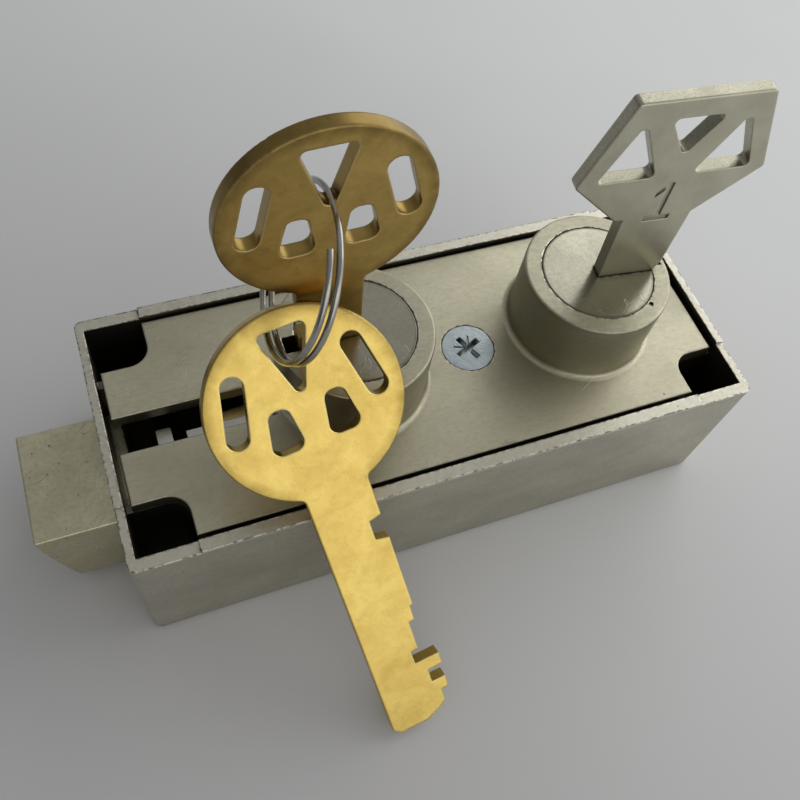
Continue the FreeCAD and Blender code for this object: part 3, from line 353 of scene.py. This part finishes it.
def brass(name, colour, dark, roughness, mottle, grain_direction, edge_mm, plate=None, bow=None):
    """Handled brass: mottled by fingers, brushed along the blade, with painted highlights on its edges."""
    n = Nodes(name)
    cloud = n.noise(0.16, 5.0, 0.65, distortion=0.6)
    blotch = n.noise(0.55, 6.0, 0.7)
    brushed = n.noise(1.0, 3.0, 0.6, grain_direction)
    grain = n.noise(3.5, 4.0, 0.7)
    speck = n.ramp(n.cells(0.8), 1.0, 0.0, 0.04, 0.12)
    tone = n.mix(n.ramp(cloud, 0.0, mottle, 0.38, 0.68), colour, dark)
    tone = n.mix(n.ramp(blotch, 0.0, 0.5 * mottle, 0.5, 0.75), tone, shade(dark, 0.7))
    tone = n.mix(n.ramp(grain, 0.0, 0.35, 0.5, 0.75), tone, dark)
    tone = n.mix(n.product(speck, 0.25), tone, shade(dark, 0.3))

    # Painted dark reflection in a band just inside the bow's rim.
    if bow is not None:
        centre, blade_root = bow
        inner = n.far_from(centre, RIM_DARK_STARTS, RIM_DARK_FULL)
        outer = n.far_from(centre, RIM_DARK_FULL, RIM_DARK_ENDS)
        band = n.product(n.math("SUBTRACT", inner, outer), n.far_from(blade_root, ROOT_UNDARKENED, ROOT_DARKENED))
        rim_darkening = n.product(band, n.ramp(cloud, 0.35, 0.95, 0.3, 0.6))
        tone = n.mix(rim_darkening, tone, shade(dark, 0.5))

    # Painted highlight: edges and hole rims are lightened.
    edge = n.edge_mask(1.3 * edge_mm, 0.004, 0.10)
    bright = n.product(edge, n.ramp(blotch, 0.30, 0.85, 0.35, 0.6))
    tone = n.mix(bright, tone, tuple(min(1.0, c * 1.12 + 0.13) for c in colour))
    if plate is not None:
        tone = n.mix(n.product(n.plate_sides(plate), 0.55), tone, shade(dark, 0.62))
    # Dirt and painted shade in corners and gaps, darker where ambient occlusion finds them.
    dirt_and_shade = n.product(n.dirt_and_shade(0.9, 0.8, 0.4), 0.45)
    tone = n.mix(dirt_and_shade, tone, shade(dark, 0.35))

    rough = n.math("ADD", n.ramp(cloud, roughness - 0.05, roughness + 0.1), n.ramp(brushed, -0.04, 0.05))
    height = n.math("ADD", n.product(brushed, 0.22), n.product(blotch, 0.30))
    height = n.math("ADD", height, n.product(grain, 0.12))
    return n.finish(tone, rough, height, 0.035, edge_mm)


def plain_metal(name, colour, dark, roughness, grain_direction, depth_mm, bevel_mm, plate=None):
    """Machined or plated metal with fine marks, painted highlights on its edges, and dirt and painted shade
    in its engraved strokes and recesses.
    """
    n = Nodes(name)
    cloud = n.noise(0.2, 4.0)
    fine = n.noise(1.2, 4.0, 0.7, grain_direction)
    grain = n.noise(5.0, 3.0, 0.7)
    tone = n.mix(n.ramp(cloud, 0.0, 0.7, 0.35, 0.7), colour, dark)
    tone = n.mix(n.ramp(fine, 0.0, 0.4, 0.45, 0.8), tone, dark)
    if plate is not None:
        speckled = n.product(n.plate_sides(plate), n.ramp(grain, 0.05, 0.65, 0.35, 0.65))
        tone = n.mix(speckled, tone, shade(dark, 0.42))
    # Painted highlight: edges are lightened along their rounding.
    edge = n.product(n.edge_mask(bevel_mm + 0.1), n.ramp(fine, 0.2, 0.8, 0.35, 0.6))
    tone = n.mix(edge, tone, tuple(min(1.0, c * 1.3) for c in colour))
    # Dirt and painted shade in engraved strokes and recesses, found by ambient occlusion.
    tone = n.mix(n.product(n.dirt_and_shade(0.7), 0.85), tone, shade(dark, 0.22))
    rough = n.math("ADD", n.ramp(cloud, roughness - 0.04, roughness + 0.06), n.ramp(fine, -0.04, 0.05))
    height = n.math("ADD", fine, n.product(grain, 0.3))
    return n.finish(tone, rough, height, depth_mm, bevel_mm)


def floor_paper():
    """Pale paper with painted light and shade: a little greyer towards the front and the bolt's end."""
    n = Nodes("floor_paper")
    soft = n.noise(0.012, 2.0)
    grain = n.noise(1.5, 3.0)
    # Painted light and shade: paler along one direction, greyer towards the other.
    pale = n.ramp(n.dot(n.place, PAPER_PALE_WAY), 0.0, 1.0, PAPER_FROM, PAPER_TO)
    tone = n.mix(pale, PAPER_SHADED_GREY, PAPER_LIT_PALE)
    tone = n.mix(n.ramp(soft, 0.0, 0.15, 0.3, 0.7), tone, PAPER_SOFT_SHADE)
    return n.finish(tone, 0.75, grain, 0.01, 0.0, 0.0)


def make_floor():
    mesh = bpy.data.meshes.new("floor")
    corners = [(x * FLOOR_HALF, y * FLOOR_HALF, 0) for x, y in ((-1, -1), (1, -1), (1, 1), (-1, 1))]
    mesh.from_pydata(corners, [], [(0, 1, 2, 3)])
    floor = bpy.data.objects.new("floor", mesh)
    bpy.context.scene.collection.objects.link(floor)
    mesh.materials.append(floor_paper())


def dress(material, *names):
    for name in names:
        mesh = nodes[name].data
        mesh.materials.clear()
        mesh.materials.append(material)


def dress_castings():
    rim = (case_high[2] - RIM_DEPTH, (0.80, 0.77, 0.65), 0.65)
    case = cast_nickel("case_nickel", (0.57, 0.545, 0.45), (0.35, 0.325, 0.25), 0.03, 0.38,
                       (0.6, 1, 1), 0.5, case_inside, 0.0, rim)
    # Painted shade: the tops of the noses are darkened.
    noses = (nose_top - NOSE_TOP_DEPTH, (0.42, 0.395, 0.30), 0.75)
    cover = cast_nickel("cover_nickel", (0.61, 0.58, 0.435), (0.41, 0.38, 0.265), 0.0, 0.40,
                        (0.5, 1, 1), 0.5, None, 0.5, noses)
    bolt = cast_nickel("bolt_worn", (0.72, 0.68, 0.48), (0.36, 0.33, 0.22), 0.14, 0.38,
                       (1, 1, 1), 0.9)
    plug = cast_nickel("plug_nickel", (0.46, 0.44, 0.35), (0.33, 0.31, 0.23), 0.0, 0.14,
                       (1, 1, 1), 0.5, plug_edge)
    dress(case, "case")
    dress(cover, "cover_plate")
    dress(bolt, "bolt")
    dress(plug, "renter_plug", "guard_plug")


def dress_keys():
    spare = brass("spare_brass", (0.85, 0.64, 0.19), (0.62, 0.42, 0.10), 0.27, 0.6,
                  (3, 0.6, 0.6), 0.45, SPARE_FACE, (SPARE_BOW, SPARE_BLADE_ROOT))
    # Painted shade: the renter key's brass is a darker copy of the spare's.
    renter = brass("renter_brass_shaded", (0.58, 0.405, 0.125), (0.38, 0.26, 0.08), 0.30, 0.7,
                   (3, 3, 0.4), 0.45, RENTER_FACE, (RENTER_BOW, RENTER_BLADE_ROOT))
    guard = plain_metal("guard_nickel", (0.59, 0.57, 0.45), (0.45, 0.43, 0.33), 0.30,
                        (4, 4, 0.4), 0.02, 0.35, GUARD_FACE)
    ring = plain_metal("ring_wire", (0.52, 0.50, 0.46), (0.30, 0.29, 0.26), 0.20,
                       (1, 1, 1), 0.01, 0.0)
    dress(spare, "spare_key")
    dress(renter, "renter_key")
    dress(guard, "guard_key")
    dress(ring, "key_ring")


def dress_inner_parts():
    screw = plain_metal("screw_zinc", (0.62, 0.69, 0.70), (0.40, 0.46, 0.49), 0.20,
                        (1, 1, 1), 0.03, 0.12)
    steel = plain_metal("inner_steel", (0.66, 0.65, 0.60), (0.42, 0.41, 0.37), 0.26,
                        (1, 1, 1), 0.015, 0.12)
    inner = brass("inner_brass", (0.72, 0.56, 0.24), (0.50, 0.37, 0.14), 0.30, 0.5, (1, 1, 1), 0.2)
    dress(screw, "cover_screw")
    dress(steel, "renter_fence", "guard_fence", "crank_pin", "drive_cam")
    dress(steel, "renter_stop_pin", "guard_stop_pin", "renter_lever_plate", "guard_lever_plate")
    dress(inner, "renter_pivot_post", "guard_pivot_post")
    for name in nodes:
        lever = "_lever_" in name and "plate" not in name
        if lever or "_spring_" in name:
            dress(inner, name)


def make_world():
    world = bpy.data.worlds.new("studio")
    bpy.context.scene.world = world
    world.use_nodes = True
    tree = world.node_tree
    background = tree.nodes["Background"]
    place = tree.nodes.new("ShaderNodeTexCoord")
    across = tree.nodes.new("ShaderNodeVectorMath")
    across.operation = "DOT_PRODUCT"
    across.inputs[1].default_value = ROOM_BRIGHT_WAY
    tree.links.new(place.outputs["Generated"], across.inputs[0])
    ramp = tree.nodes.new("ShaderNodeMapRange")
    ramp.inputs["From Min"].default_value = ROOM_FROM
    ramp.inputs["From Max"].default_value = ROOM_TO
    ramp.inputs["To Min"].default_value = ROOM_DARK
    ramp.inputs["To Max"].default_value = ROOM_BRIGHT
    tree.links.new(across.outputs["Value"], ramp.inputs["Value"])
    tree.links.new(ramp.outputs["Result"], background.inputs["Color"])
    background.inputs["Strength"].default_value = ROOM_STRENGTH


make_camera()
make_world()
make_floor()
area_light("window_right", *WINDOW_LIGHT)
area_light("front_soft", *FRONT_LIGHT)
dress_castings()
dress_keys()
dress_inner_parts()

bpy.context.scene.view_settings.view_transform = "Standard"
